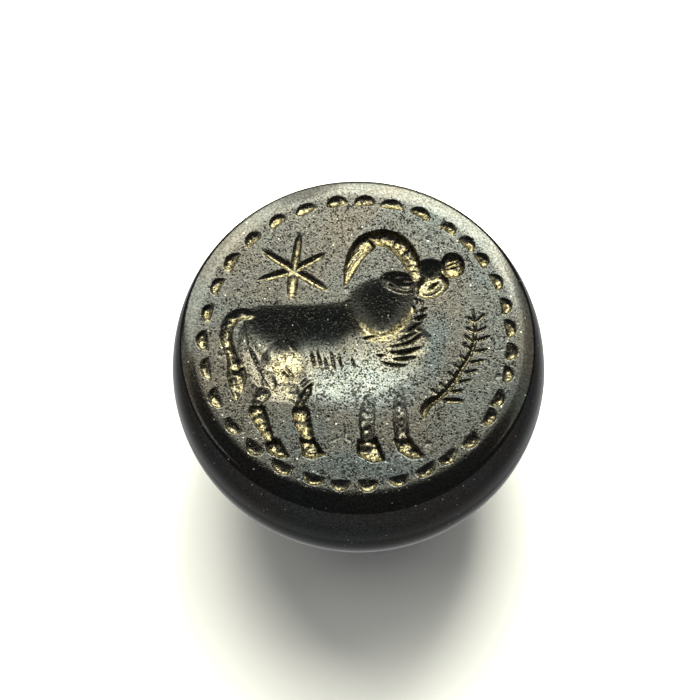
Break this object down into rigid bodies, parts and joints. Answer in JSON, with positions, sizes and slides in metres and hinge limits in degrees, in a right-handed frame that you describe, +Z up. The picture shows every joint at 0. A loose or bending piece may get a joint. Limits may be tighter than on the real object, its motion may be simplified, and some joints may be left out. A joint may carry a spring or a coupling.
{
  "type": "bead seal",
  "caption": "Domed dark stone stamp seal bored for a string, its flat round face engraved with a ram, a star and a leafy branch inside a notched border.",
  "frame": {"origin": "centre of the small flat foot under the domed back", "axes": "+Z up through the engraved face, +Y to the top of the engraved picture, +X to its right, which is also the way of the string hole"},
  "size_m": [0.024, 0.024, 0.015],
  "materials": {
    "stone": "polished dark iron-rich stone, finely pitted, with pale ochre grime in the engraving"
  },
  "bodies": {
    "root": {"seal": "stone"}
  },
  "joints": []
}
